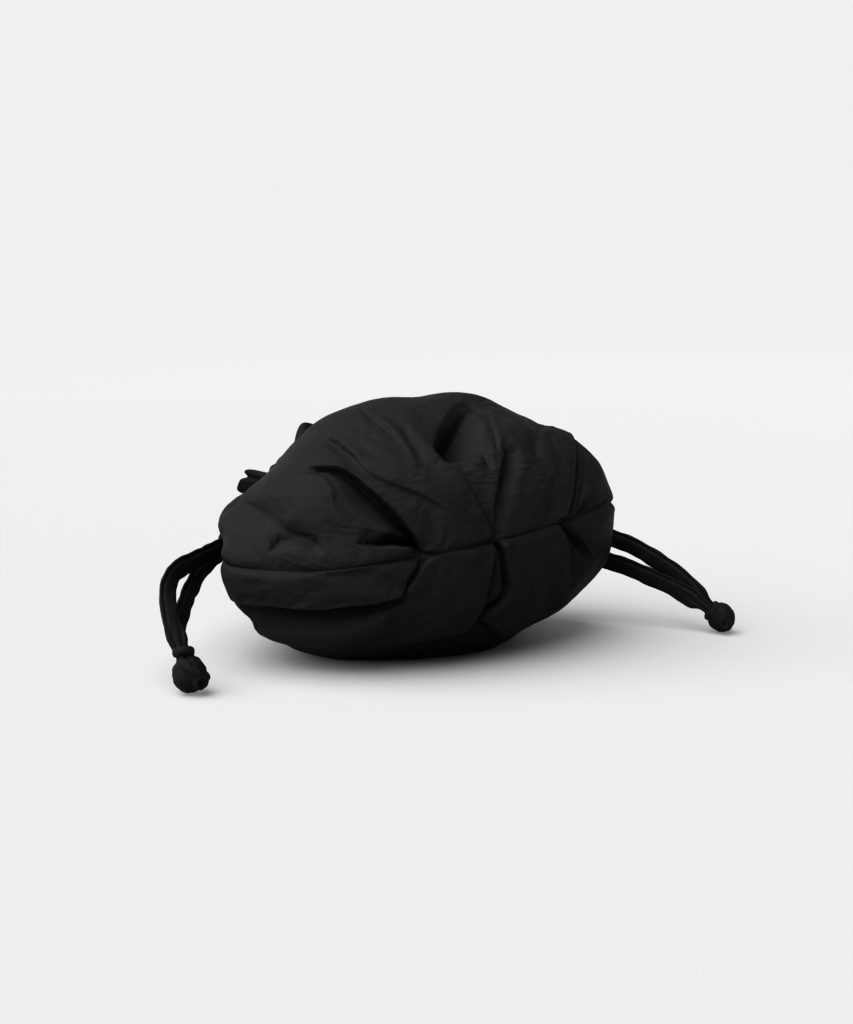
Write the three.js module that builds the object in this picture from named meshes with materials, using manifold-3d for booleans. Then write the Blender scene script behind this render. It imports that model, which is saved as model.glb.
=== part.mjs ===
// A drawstring pouch of black nylon lying on its side.
// Millimetres, +Z up: the bottom seam faces -Y, the mouth faces +Y, and the width runs along X.
import * as THREE from 'three';
import { mergeVertices } from 'three/addons/utils/BufferGeometryUtils.js';
import Module from 'manifold-3d';

const wasm = await Module();
wasm.setup();

const { clamp, degToRad, euclideanModulo, radToDeg, smoothstep } = THREE.MathUtils;

// Body: a slack ovoid of cloth, rolled a little about the mouth's axis and flat where it rests
const HALF_WIDTH = 133;
const HALF_DEPTH = 88;
const HALF_HEIGHT = 82.5;
const SQUARENESS = 2.15;
const ROLL = degToRad(3.5);
const BODY_MIDDLE = new THREE.Vector3(0, -18, 73.5);
const WALL = 2.2;
const PIECE_GAP = 0.4;

// Bottom seam: a line across the front, a share of the width long, that climbs to the right
const SEAM_REACH = 0.8;
const SEAM_RISE = 6;
const SEAM_SLOPE = 0.056;
const SEAM_GROOVE = 1.5;
const SEAM_BAND = 9;

// Neck: where the body is gathered into the channel, off the middle towards the upper left
const NECK_X = -22;
const NECK_Z = 14;
const NECK_RADIUS = 23;
const NECK_CONE = 6;
const CONE_REACH = 26;
const GATHERS = 18;
const GATHER_DEPTH = 3.2;
const GATHER_START = 1.15;
const GATHER_END = 1.75;

// Channel and ruffle beyond the neck
const CHANNEL_WIDTH = 12.5;
const CHANNEL_BULGE = 2.6;
const CHANNEL_WALL = 3;
const CHANNEL_RIPPLE = 0.9;
const RUFFLE_FLARE = 5;
const RUFFLE_RISE = 12;
const RUFFLE_CURL = 1.3;
const RUFFLE_WALL = 1.6;
const RUFFLE_WAVES = 11;
const RUFFLE_SWAY = 3;
const RUFFLE_SWELL = 1.5;
const RUFFLE_PHASE = degToRad(34);

// Lobes of the ruffle: the angle round the mouth in degrees, how wide a lobe is and how far it reaches out
const LOBES = [
  { name: 'top tip', at: 80, spread: 17, reach: 17 },
  { name: 'left tip', at: 161, spread: 14, reach: 17 },
  { name: 'lower left lobe', at: 236, spread: 20, reach: 15 },
  { name: 'lower right lobe', at: 300, spread: 18, reach: 15 },
  { name: 'right lobe', at: 10, spread: 20, reach: 14 },
];

// Drawstrings: flat tubes of the same cloth, two to a side, tied in one knot
const STRAND_WIDTH = 12;
const STRAND_THICKNESS = 3;
const STRAND_SIDES = 8;
const STRAND_STEPS = 16;

// Fineness of the facets
const PANEL_COLUMNS = 40;
const FRONT_ROWS = 16;
const BACK_ROWS = 7;
const RING_COLUMNS = 54;
const CHANNEL_ROWS = 3;
const RUFFLE_ROWS = 4;
const PATH_STEPS = 20;

// Section of every fold: the share of the roll that its edge climbs over, the curve of the valley, the share
// of its length where it begins to fade, the run-out past its ends, and the limits of all folds together
const FOLD_EDGE_SHARE = 0.55;
const VALLEY_CURVE = 1.6;
const FADE_START = 0.4;
const FOLD_END = 12;
const DEEPEST = -14;
const HIGHEST = 9;

const LIP_RIGHT = 1;
const LIP_LEFT = -1;

// Folds of the cloth. A fold runs along the places in "at", each [x in mm, turn in degrees round the long
// axis], with 0 straight in front and 90 straight up. On one side of the line the cloth is drawn in by
// "depth", which dies out over "valley"; on the other it rolls up by "lip", which dies out over "roll". "fade"
// is the strength left at the far end.
const FOLDS = [
  { name: 'great fold', at: [[-52, 3], [-59, 16], [-70, 35], [-78, 46], [-94, 59]],
    depth: 9, valley: 30, lip: 3.5, roll: 24, side: LIP_RIGHT, fade: 0.1 },
  { name: 'short tuck', at: [[-52, 3], [-63, 9], [-72, 11], [-83, 12]],
    depth: 7, valley: 12, lip: 3, roll: 12, side: LIP_RIGHT, fade: 0.1 },
  { name: 'thin crease', at: [[-16, 14], [-36, 20], [-46, 29], [-58, 51]],
    depth: 2.5, valley: 12, lip: 1.5, roll: 12, side: LIP_RIGHT, fade: 0.2 },
  { name: 'shoulder crease', at: [[-71, 79], [-70, 59], [-68, 46]],
    depth: 2.5, valley: 12, lip: 1, roll: 10, side: LIP_LEFT, fade: 0 },
  { name: 'brow crease', at: [[-40, 80], [-41, 63], [-40, 40], [-36, 35]],
    depth: 2.5, valley: 12, lip: 1, roll: 10, side: LIP_LEFT, fade: 0 },
  { name: 'hollow rim', at: [[-4, 5], [-13, 21], [-24, 41], [-21, 51], [-7, 62], [13, 73]],
    depth: 6, valley: 24, lip: 2, roll: 14, side: LIP_LEFT, fade: 0.5 },
  { name: 'middle ridge', at: [[-4, 5], [4, 24], [14, 35], [22, 48], [35, 65]],
    depth: 4.5, valley: 18, lip: 2.5, roll: 12, side: LIP_LEFT, fade: 0.3 },
  { name: 'right tuck', at: [[51, 7], [60, 16], [69, 23], [79, 34], [89, 44]],
    depth: 7, valley: 18, lip: 2, roll: 16, side: LIP_LEFT, fade: 0.8 },
  { name: 'lower roll edge', at: [[-63, -13], [-79, -19], [-102, -23], [-118, -33], [-127, -84]],
    depth: 9, valley: 22, lip: 4, roll: 24, side: LIP_RIGHT, fade: 0.3 },
  { name: 'left pleat', at: [[-53, 2], [-60, -4], [-63, -13]],
    depth: 5, valley: 9, lip: 2, roll: 10, side: LIP_RIGHT, fade: 0.9 },
  { name: 'middle pleat, left edge', at: [[-4, 3], [-8, -6], [-9, -17], [-8, -33]],
    depth: 5, valley: 12, lip: 1.5, roll: 16, side: LIP_RIGHT, fade: 0.6 },
  { name: 'middle pleat, right edge', at: [[-2, 3], [5, -3], [9, -10], [8, -19], [-6, -29]],
    depth: 5, valley: 9, lip: 2, roll: 14, side: LIP_LEFT, fade: 0.6 },
  { name: 'right pleat', at: [[51, 4], [57, -7], [63, -19], [65, -27]],
    depth: 5, valley: 14, lip: 1.5, roll: 16, side: LIP_RIGHT, fade: 0.3 },
];

// Soft swellings (height above 0) and dents (below 0) of the cloth, round a place given as in the folds
const SWELLINGS = [
  { name: 'hollow', at: [-4, 53], height: -6, radius: 20 },
  { name: 'lower roll', at: [-101, -10], height: 3, radius: 24 },
  { name: 'valley under the roll', at: [-102, -33], height: -4, radius: 18 },
  { name: 'left shoulder', at: [-97, 121], height: -12, radius: 40 },
  { name: 'left ear', at: [-119, 143], height: 7, radius: 20 },
  { name: 'left end groove', at: [-126, -179], height: -7, radius: 15 },
  { name: 'right shoulder', at: [82, 77], height: -6, radius: 32 },
  { name: 'right underside', at: [58, -55], height: -8, radius: 24 },
  { name: 'right flank', at: [91, -46], height: -4, radius: 22 },
  { name: 'left underside', at: [-59, -65], height: -5, radius: 34 },
  { name: 'crown', at: [33, 96], height: 2, radius: 30 },
];

// Drawstring strands: the way that the flat side faces, and the route from the channel to the knot
const LEFT_FACING = new THREE.Vector3(0.1, -1, 0.1);
const RIGHT_FACING = new THREE.Vector3(-0.85, -0.5, 0);
const STRANDS = [
  { name: 'left_strand_1', knot: 'left_knot', facing: LEFT_FACING, route: [
    [-52, 83, 92], [-64, 79, 87], [-77, 73, 81], [-88, 65, 75], [-97, 55, 70], [-105, 44, 66],
    [-115, 34, 65], [-127, 25, 64], [-139, 16, 63], [-151, 7, 62], [-162, -2, 60], [-171, -13, 55],
    [-176, -24, 46], [-178, -35, 35], [-179, -46, 24], [-178, -56, 14]] },
  { name: 'left_strand_2', knot: 'left_knot', facing: LEFT_FACING, route: [
    [-52, 85, 77], [-64, 84, 74], [-77, 80, 70], [-88, 73, 66], [-97, 64, 63], [-105, 54, 60],
    [-114, 45, 58], [-125, 35, 55], [-134, 25, 52], [-143, 14, 48], [-151, 4, 44], [-159, -7, 39],
    [-167, -18, 34], [-173, -29, 27], [-176, -40, 19], [-178, -51, 12]] },
  { name: 'right_strand_1', knot: 'right_knot', facing: RIGHT_FACING, route: [
    [6, 84, 94], [23, 85, 90], [42, 84, 85], [61, 80, 80], [78, 73, 76], [95, 63, 71],
    [109, 50, 68], [122, 35, 64], [133, 19, 61], [142, 2, 59], [150, -15, 56], [158, -32, 51],
    [165, -48, 44], [172, -64, 35], [178, -79, 22], [186, -93, 10]] },
  { name: 'right_strand_2', knot: 'right_knot', facing: RIGHT_FACING, route: [
    [6, 86, 79], [23, 88, 75], [42, 87, 70], [60, 83, 66], [77, 75, 62], [93, 64, 58],
    [107, 52, 54], [119, 37, 51], [130, 21, 47], [137, 3, 45], [143, -15, 42], [151, -32, 38],
    [159, -49, 33], [167, -66, 27], [175, -83, 19], [181, -96, 11]] },
];

// Knots: a rounded core with one turn of the strand wrapped over it, at rest on the surface
const KNOTS = [
  { name: 'left_knot', middle: [-178, -54, 13.2], half: [11, 11.5, 13], lean: degToRad(24) },
  { name: 'right_knot', middle: [184, -94, 10.2], half: [10, 9.5, 10], lean: degToRad(-30) },
];
const WRAP_THICKNESS = 0.3;
const WRAP_STRETCH = 1.6;
const CORE_SEGMENTS = [12, 8];
const WRAP_SEGMENTS = [6, 14];

const BODY_BLACK = 0x121212;
const CORD_BLACK = 0x141414;
const NYLON_ROUGHNESS = 0.62;

const UP_THE_MOUTH = new THREE.Vector3(0, 1, 0);
const SHARE = 2 / SQUARENESS;

function power(value, exponent) {
  return Math.sign(value) * Math.abs(value) ** exponent;
}

// Moves a point from the body's own frame to where the bag lies
function place(point) {
  return point.applyAxisAngle(UP_THE_MOUTH, -ROLL).add(BODY_MIDDLE);
}

// The ring of the body behind its widest place: how much of the full width and height is left at v
function ringShare(v) {
  return Math.max(Math.cos((v - 1) * Math.PI / 2), 0) ** SHARE;
}

// A point of the plain ovoid. u goes round the mouth's axis, from the right side over the top, and v runs
// from the bottom seam (0) over the widest ring (1) to the neck (2).
function ovoidPoint(u, v) {
  const across = power(Math.cos(u), SHARE);
  const up = power(Math.sin(u), SHARE);
  if (v <= 1) {
    const tilt = v * Math.PI / 2;
    const x = HALF_WIDTH * Math.hypot(SEAM_REACH * Math.cos(tilt), Math.sin(tilt)) * across;
    const level = HALF_HEIGHT * Math.sin(tilt) * up;
    const lift = (SEAM_RISE + SEAM_SLOPE * x) * (1 - (level / HALF_HEIGHT) ** 2) * Math.cos(tilt) ** 2;
    const z = level + lift;
    const left = 1 - Math.abs(x / HALF_WIDTH) ** SQUARENESS - Math.abs(z / HALF_HEIGHT) ** SQUARENESS;
    return new THREE.Vector3(x, -HALF_DEPTH * Math.max(left, 0) ** (1 / SQUARENESS), z);
  }
  const share = ringShare(v);
  const drift = (1 - share) ** 2;
  const bulge = Math.sin((v - 1) * Math.PI / 2) ** SHARE;
  return new THREE.Vector3(
    Math.hypot(HALF_WIDTH * share, NECK_RADIUS * (1 - share)) * across + NECK_X * drift,
    HALF_DEPTH * bulge + NECK_CONE * Math.exp(-share * HALF_HEIGHT / CONE_REACH),
    Math.hypot(HALF_HEIGHT * share, NECK_RADIUS * (1 - share)) * up + NECK_Z * drift,
  );
}

// The way out of the ovoid at a point on or near it
function outward(point) {
  return new THREE.Vector3(
    power(point.x / HALF_WIDTH, SQUARENESS - 1) / HALF_WIDTH,
    power(point.y / HALF_DEPTH, SQUARENESS - 1) / HALF_DEPTH,
    power(point.z / HALF_HEIGHT, SQUARENESS - 1) / HALF_HEIGHT,
  ).normalize();
}

// The point of the ovoid at x along the width and a turn round the long axis
function onOvoid([x, turnDegrees]) {
  const turn = degToRad(turnDegrees);
  const left = 1 - Math.abs(x / HALF_WIDTH) ** SQUARENESS;
  const forward = Math.abs(Math.cos(turn) / HALF_DEPTH) ** SQUARENESS;
  const upward = Math.abs(Math.sin(turn) / HALF_HEIGHT) ** SQUARENESS;
  const reach = (left / (forward + upward)) ** (1 / SQUARENESS);
  return new THREE.Vector3(x, -reach * Math.cos(turn), reach * Math.sin(turn));
}

const FOLD_PATHS = FOLDS.map((fold) => {
  return new THREE.CatmullRomCurve3(fold.at.map(onOvoid)).getPoints(PATH_STEPS);
});
const SWELLING_PLACES = SWELLINGS.map((swelling) => onOvoid(swelling.at));

// Where a point stands to a fold's path: how near it is, its share of the way along, how far it is to the
// right of the path, and how far past its ends
function besidePath(point, path) {
  const last = path.length - 2;
  let nearest = Infinity;
  let found = null;
  for (let i = 0; i <= last; i++) {
    const along = path[i + 1].clone().sub(path[i]);
    const length = along.length();
    along.divideScalar(length);
    const way = point.clone().sub(path[i]).dot(along);
    const foot = path[i].clone().addScaledVector(along, clamp(way, 0, length));
    const distance = foot.distanceTo(point);
    if (distance < nearest) {
      nearest = distance;
      const right = along.clone().cross(outward(foot));
      const before = i === 0 ? Math.max(-way, 0) : 0;
      const after = i === last ? Math.max(way - length, 0) : 0;
      found = {
        nearest,
        share: (i + clamp(way / length, 0, 1)) / (last + 1),
        lateral: point.clone().sub(foot).dot(right),
        past: before + after,
      };
    }
  }
  return found;
}

function foldHeight(point, fold, path) {
  const { nearest, share, lateral, past } = besidePath(point, path);
  const reach = Math.max(fold.valley, fold.roll);
  const near = 1 - smoothstep(nearest, reach, 2 * reach);
  const faded = 1 - (1 - fold.fade) * smoothstep(share, FADE_START, 1);
  const strength = near * faded * clamp(1 - past / FOLD_END, 0, 1) ** 2;
  const distance = lateral * fold.side;
  const edge = FOLD_EDGE_SHARE * fold.roll;
  if (distance < 0) {
    return -fold.depth * clamp(1 + distance / fold.valley, 0, 1) ** VALLEY_CURVE * strength;
  }
  if (distance < edge) {
    return (-fold.depth + (fold.depth + fold.lip) * smoothstep(distance, 0, edge)) * strength;
  }
  const down = clamp((distance - edge) / (fold.roll - edge), 0, 1);
  return fold.lip * (0.5 + 0.5 * Math.cos(Math.PI * down)) * strength;
}

// How far the cloth stands out of the ovoid: folds, swellings, the seam's groove and the neck's gathers
function clothHeight(point, u, v) {
  let height = 0;
  FOLDS.forEach((fold, i) => {
    height += foldHeight(point, fold, FOLD_PATHS[i]);
  });
  SWELLINGS.forEach((swelling, i) => {
    height += swelling.height * Math.exp(-((point.distanceTo(SWELLING_PLACES[i]) / swelling.radius) ** 2));
  });
  const opening = v <= 1 ? Math.sin(v * Math.PI / 2) : ringShare(v);
  const offSeam = HALF_HEIGHT * opening * Math.abs(Math.sin(u));
  height -= SEAM_GROOVE * clamp(1 - offSeam / SEAM_BAND, 0, 1) ** 2;
  const gathered = smoothstep(v, GATHER_START, GATHER_END) * (1 - smoothstep(v, GATHER_END, 2));
  height += GATHER_DEPTH * gathered * Math.sin(GATHERS * u);
  return clamp(height, DEEPEST, HIGHEST);
}

// A point of the body's cloth, inset from its outer face, and never below the surface that it rests on
function bodyPoint(u, v, inset) {
  const point = ovoidPoint(u, v);
  point.addScaledVector(outward(point), clothHeight(point, u, v) - inset);
  place(point);
  point.z = Math.max(point.z, inset);
  return point;
}

// A closed shell of cloth: pointAt(i, j, layer) gives the outer (0) and inner (1) point of each column and
// row. A ring's columns meet round the mouth's axis, and a panel's first and last columns get rims.
function clothShell(columns, rows, isRing, pointAt) {
  const positions = [];
  const triangles = [];
  const columnCount = isRing ? columns : columns + 1;
  for (const layer of [0, 1]) {
    for (let i = 0; i < columnCount; i++) {
      for (let j = 0; j <= rows; j++) {
        positions.push(...pointAt(i, j, layer).toArray());
      }
    }
  }
  const at = (layer, i, j) => (layer * columnCount + i % columnCount) * (rows + 1) + j;
  const quad = (a, b, c, d) => triangles.push(a, b, c, a, c, d);
  for (let i = 0; i < columns; i++) {
    for (let j = 0; j < rows; j++) {
      quad(at(0, i, j), at(0, i, j + 1), at(0, i + 1, j + 1), at(0, i + 1, j));
      quad(at(1, i, j), at(1, i + 1, j), at(1, i + 1, j + 1), at(1, i, j + 1));
    }
    quad(at(0, i, 0), at(0, i + 1, 0), at(1, i + 1, 0), at(1, i, 0));
    quad(at(0, i + 1, rows), at(0, i, rows), at(1, i, rows), at(1, i + 1, rows));
  }
  for (let j = 0; j < rows && !isRing; j++) {
    quad(at(0, 0, j + 1), at(0, 0, j), at(1, 0, j), at(1, 0, j + 1));
    quad(at(0, columns, j), at(0, columns, j + 1), at(1, columns, j + 1), at(1, columns, j));
  }
  const geometry = new THREE.BufferGeometry();
  geometry.setAttribute('position', new THREE.Float32BufferAttribute(positions, 3));
  geometry.setIndex(triangles);
  geometry.computeVertexNormals();
  return geometry;
}

// One half of the body, from the seam to the neck, over the half turn that starts at startAngle
function panelGeometry(startAngle, raise) {
  const rowPlace = (j) => (j <= FRONT_ROWS ? j / FRONT_ROWS : 1 + (j - FRONT_ROWS) / BACK_ROWS);
  return clothShell(PANEL_COLUMNS, FRONT_ROWS + BACK_ROWS, false, (i, j, layer) => {
    const point = bodyPoint(startAngle + Math.PI * i / PANEL_COLUMNS, rowPlace(j), WALL * layer);
    point.z += raise;
    return point;
  });
}

const NECK_END = HALF_DEPTH + NECK_CONE;
const CHANNEL_START = NECK_END + PIECE_GAP;
const CHANNEL_END = CHANNEL_START + CHANNEL_WIDTH;
const RUFFLE_START = CHANNEL_END + PIECE_GAP;

// A point round the neck, at a radius and a place along the mouth's axis
function roundNeck(u, radius, y) {
  return place(new THREE.Vector3(NECK_X + radius * Math.cos(u), y, NECK_Z + radius * Math.sin(u)));
}

function channelGeometry() {
  return clothShell(RING_COLUMNS, CHANNEL_ROWS, true, (i, j, layer) => {
    const u = 2 * Math.PI * i / RING_COLUMNS;
    const way = j / CHANNEL_ROWS;
    const ripple = CHANNEL_RIPPLE * Math.sin(GATHERS * u);
    const radius = NECK_RADIUS + CHANNEL_BULGE * Math.sin(Math.PI * way) + ripple - CHANNEL_WALL * layer;
    return roundNeck(u, radius, CHANNEL_START + CHANNEL_WIDTH * way);
  });
}

// How far the ruffle's free edge stands out of the neck at an angle round the mouth
function ruffleFlare(u) {
  let flare = RUFFLE_FLARE;
  for (const lobe of LOBES) {
    const apart = euclideanModulo(radToDeg(u) - lobe.at + 180, 360) - 180;
    flare += lobe.reach * Math.exp(-((apart / lobe.spread) ** 2));
  }
  return flare;
}

// The heading flares out into lobes, in waves that grow to its free edge
function ruffleGeometry() {
  return clothShell(RING_COLUMNS, RUFFLE_ROWS, true, (i, j, layer) => {
    const u = 2 * Math.PI * i / RING_COLUMNS;
    const way = j / RUFFLE_ROWS;
    const wave = Math.sin(RUFFLE_WAVES * u + RUFFLE_PHASE);
    const flare = ruffleFlare(u) * way;
    const lean = Math.atan2(flare, RUFFLE_RISE);
    const inset = RUFFLE_WALL * layer;
    const radius = NECK_RADIUS + flare + RUFFLE_SWELL * way * wave - inset * Math.cos(lean);
    const rise = RUFFLE_RISE * way ** RUFFLE_CURL + RUFFLE_SWAY * way * wave + inset * Math.sin(lean);
    return roundNeck(u, radius, RUFFLE_START + rise);
  });
}

// A strand's route, whose sections keep their flat side turned to one way
class StrandRoute extends THREE.CatmullRomCurve3 {
  constructor(points, facing) {
    super(points.map((point) => new THREE.Vector3(...point)));
    this.facing = facing;
  }

  computeFrenetFrames(segments) {
    const frames = { tangents: [], normals: [], binormals: [] };
    for (let i = 0; i <= segments; i++) {
      const tangent = this.getTangentAt(i / segments);
      const normal = this.facing.clone().addScaledVector(tangent, -this.facing.dot(tangent)).normalize();
      frames.tangents.push(tangent);
      frames.normals.push(normal);
      frames.binormals.push(tangent.clone().cross(normal));
    }
    return frames;
  }
}

function strandGeometry(strand) {
  const section = new THREE.Shape();
  for (let i = 0; i < STRAND_SIDES; i++) {
    const angle = 2 * Math.PI * (i + 0.5) / STRAND_SIDES;
    const corner = [STRAND_THICKNESS / 2 * Math.cos(angle), STRAND_WIDTH / 2 * Math.sin(angle)];
    if (i === 0) {
      section.moveTo(...corner);
    } else {
      section.lineTo(...corner);
    }
  }
  return new THREE.ExtrudeGeometry(section, {
    steps: STRAND_STEPS,
    extrudePath: new StrandRoute(strand.route, strand.facing),
  });
}

function toSolid(geometry) {
  const bare = geometry.clone();
  bare.deleteAttribute('normal');
  bare.deleteAttribute('uv');
  const merged = mergeVertices(bare);
  return new wasm.Manifold(new wasm.Mesh({
    numProp: 3,
    vertProperties: new Float32Array(merged.attributes.position.array),
    triVerts: new Uint32Array(merged.index.array),
  }));
}

function toGeometry(solid) {
  const mesh = solid.getMesh();
  const geometry = new THREE.BufferGeometry();
  geometry.setAttribute('position', new THREE.BufferAttribute(mesh.vertProperties, 3));
  geometry.setIndex(new THREE.BufferAttribute(mesh.triVerts, 1));
  geometry.computeVertexNormals();
  return geometry;
}

// A knot's solid, grown all round by a margin
function knotSolid(knot, margin) {
  const [halfX, halfY, halfZ] = knot.half.map((size) => size + margin);
  const core = new THREE.SphereGeometry(1, ...CORE_SEGMENTS);
  core.rotateX(Math.PI / 2);
  core.scale(halfX * (1 - WRAP_THICKNESS / 2), halfY * (1 - WRAP_THICKNESS / 2), halfZ);
  const wrap = new THREE.TorusGeometry(1 - WRAP_THICKNESS, WRAP_THICKNESS, ...WRAP_SEGMENTS);
  wrap.scale(halfX, halfY, halfZ * WRAP_STRETCH);
  const solid = toSolid(core).add(toSolid(wrap.rotateY(knot.lean)));
  return solid.translate(knot.middle);
}

function nylon(colour) {
  return new THREE.MeshStandardMaterial({ color: colour, roughness: NYLON_ROUGHNESS, metalness: 0 });
}

const pouch = new THREE.Group();

function addPiece(name, geometry, material) {
  const piece = new THREE.Mesh(geometry, material);
  piece.name = name;
  pouch.add(piece);
}

addPiece('upper_panel', panelGeometry(0, PIECE_GAP), nylon(BODY_BLACK));
addPiece('lower_panel', panelGeometry(Math.PI, 0), nylon(BODY_BLACK));
addPiece('mouth_channel', channelGeometry(), nylon(BODY_BLACK));
addPiece('mouth_ruffle', ruffleGeometry(), nylon(BODY_BLACK));
for (const knot of KNOTS) {
  addPiece(knot.name, toGeometry(knotSolid(knot, 0)), nylon(CORD_BLACK));
}
for (const strand of STRANDS) {
  const knot = KNOTS.find((candidate) => candidate.name === strand.knot);
  const solid = toSolid(strandGeometry(strand)).subtract(knotSolid(knot, PIECE_GAP));
  addPiece(strand.name, toGeometry(solid), nylon(CORD_BLACK));
}

export default pouch;
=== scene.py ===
"""A black nylon drawstring pouch that lies on its side, with its bottom seam towards the camera."""
import math
from typing import NamedTuple

import bmesh
import bpy
import numpy as np
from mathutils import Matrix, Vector, noise


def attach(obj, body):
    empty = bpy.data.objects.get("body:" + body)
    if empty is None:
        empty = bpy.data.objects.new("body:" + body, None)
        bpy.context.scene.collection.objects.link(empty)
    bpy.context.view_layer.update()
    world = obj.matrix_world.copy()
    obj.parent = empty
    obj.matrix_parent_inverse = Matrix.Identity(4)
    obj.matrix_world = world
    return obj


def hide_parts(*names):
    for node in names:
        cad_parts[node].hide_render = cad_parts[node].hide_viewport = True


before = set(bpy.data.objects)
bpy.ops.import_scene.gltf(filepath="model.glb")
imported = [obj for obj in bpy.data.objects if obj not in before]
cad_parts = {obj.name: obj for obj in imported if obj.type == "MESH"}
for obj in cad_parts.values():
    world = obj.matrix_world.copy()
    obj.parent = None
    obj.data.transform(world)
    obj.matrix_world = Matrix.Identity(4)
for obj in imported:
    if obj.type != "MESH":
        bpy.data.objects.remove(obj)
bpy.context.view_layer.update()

# The cloth is worked out in millimetres, and every mesh is in metres
MM = 0.001
BODY = "root"


def put_in_scene(name, data):
    """A new object with its data, in the scene."""
    thing = bpy.data.objects.new(name, data)
    bpy.context.scene.collection.objects.link(thing)
    return thing


# Camera: at the photograph's place, with the focal length for its frame
CAMERA_PLACE = Vector((-0.5938, -0.9683, 0.2587))
CAMERA_AIM = Vector((0.5276, 0.8388, -0.1534)).normalized()
CAMERA_LENS_MM = 63.35


def make_camera():
    camera = put_in_scene("camera", bpy.data.cameras.new("camera"))
    camera.data.lens = CAMERA_LENS_MM
    camera.location = CAMERA_PLACE
    camera.rotation_mode = "QUATERNION"
    camera.rotation_quaternion = CAMERA_AIM.to_track_quat("-Z", "Y")
    bpy.context.scene.camera = camera


make_camera()


# Materials

def set_up(node, **settings):
    """Gives a node its settings. A value for an input is given by the input's name."""
    for name, value in settings.items():
        if hasattr(node, name):
            setattr(node, name, value)
        else:
            node.inputs[name.replace("_", " ")].default_value = value


def add_node(tree, kind, place, **settings):
    node = tree.nodes.new(kind)
    node.location = place
    set_up(node, **settings)
    return node


# Nylon: the share of soft patches in its tone, how much it mirrors, and how far its roughness strays between
# the lowest and the highest tone that it mostly has
PATCH_SHARE = 0.6
NYLON_SPECULAR = 0.03
ROUGHNESS_SPREAD = 0.08
TONE_LOW = 0.3
TONE_HIGH = 0.7


def nylon_surface_group():
    """Crinkle and grain of washed nylon: a tone from 0 to 1 and a height, by the place on the object."""
    group = bpy.data.node_groups.new("nylon surface", "ShaderNodeTree")
    for name, default in (("Crinkle Size", 1.0), ("Grain Share", 0.3)):
        socket = group.interface.new_socket(name, in_out="INPUT", socket_type="NodeSocketFloat")
        socket.default_value = default
    for name in ("Tone", "Height"):
        group.interface.new_socket(name, in_out="OUTPUT", socket_type="NodeSocketFloat")
    inside = group.nodes.new("NodeGroupInput")
    outside = group.nodes.new("NodeGroupOutput")
    place = group.nodes.new("ShaderNodeTexCoord")
    sized = add_node(group, "ShaderNodeVectorMath", (0, 0), operation="SCALE")
    along = add_node(group, "ShaderNodeMapping", (200, 0), Scale=(70, 110, 240))
    crinkle = add_node(
        group, "ShaderNodeTexNoise", (400, 0), Scale=1.0, Detail=4.0, Roughness=0.6, Distortion=0.8,
    )
    grain = add_node(group, "ShaderNodeTexNoise", (400, -300), Scale=1500.0, Detail=2.0)
    patches = add_node(group, "ShaderNodeTexNoise", (400, -600), Scale=24.0, Detail=3.0)
    height = add_node(group, "ShaderNodeMix", (700, 0), data_type="FLOAT")
    tone = add_node(group, "ShaderNodeMix", (700, -300), data_type="FLOAT")
    tone.inputs[0].default_value = PATCH_SHARE
    link = group.links.new
    link(place.outputs["Object"], sized.inputs[0])
    link(inside.outputs["Crinkle Size"], sized.inputs["Scale"])
    link(sized.outputs[0], along.inputs["Vector"])
    link(along.outputs["Vector"], crinkle.inputs["Vector"])
    link(place.outputs["Object"], grain.inputs["Vector"])
    link(place.outputs["Object"], patches.inputs["Vector"])
    link(inside.outputs["Grain Share"], height.inputs[0])
    link(crinkle.outputs["Fac"], height.inputs[2])
    link(grain.outputs["Fac"], height.inputs[3])
    link(crinkle.outputs["Fac"], tone.inputs[2])
    link(patches.outputs["Fac"], tone.inputs[3])
    link(height.outputs[0], outside.inputs["Height"])
    link(tone.outputs[0], outside.inputs["Tone"])
    return group


NYLON_SURFACE = nylon_surface_group()


def nylon(name, dark, light, roughness, crinkle_size, bump_mm):
    """Black nylon cloth: two blacks by tone, an uneven gloss, and a bump of crinkle and grain."""
    material = bpy.data.materials.new(name)
    material.use_nodes = True
    tree = material.node_tree
    shader = tree.nodes["Principled BSDF"]
    shader.inputs["Specular IOR Level"].default_value = NYLON_SPECULAR
    surface = add_node(tree, "ShaderNodeGroup", (-800, 0), node_tree=NYLON_SURFACE, Crinkle_Size=crinkle_size)
    colour = add_node(tree, "ShaderNodeMix", (-400, 100), data_type="RGBA")
    colour.inputs[6].default_value = (*dark, 1.0)
    colour.inputs[7].default_value = (*light, 1.0)
    gloss = add_node(
        tree, "ShaderNodeMapRange", (-400, -150), From_Min=TONE_LOW, From_Max=TONE_HIGH,
        To_Min=roughness - ROUGHNESS_SPREAD, To_Max=roughness + ROUGHNESS_SPREAD,
    )
    bump = add_node(tree, "ShaderNodeBump", (-400, -450), Strength=1.0, Distance=bump_mm * MM)
    link = tree.links.new
    link(surface.outputs["Tone"], colour.inputs[0])
    link(colour.outputs[2], shader.inputs["Base Color"])
    link(surface.outputs["Tone"], gloss.inputs["Value"])
    link(gloss.outputs["Result"], shader.inputs["Roughness"])
    link(surface.outputs["Height"], bump.inputs["Height"])
    link(bump.outputs["Normal"], shader.inputs["Normal"])
    return material


BODY_NYLON = nylon(
    "body nylon", dark=(0.0175, 0.0162, 0.0168), light=(0.0260, 0.0242, 0.0250),
    roughness=0.55, crinkle_size=1.0, bump_mm=0.6,
)
CORD_NYLON = nylon(
    "cord nylon", dark=(0.0138, 0.0130, 0.0134), light=(0.0215, 0.0202, 0.0209),
    roughness=0.55, crinkle_size=1.6, bump_mm=0.4,
)


# Helpers that several pieces share

def smoothstep(value, low, high):
    share = np.clip((value - low) / (high - low), 0, 1)
    return share * share * (3 - 2 * share)


def signed_power(value, exponent):
    return np.sign(value) * np.abs(value) ** exponent


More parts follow.
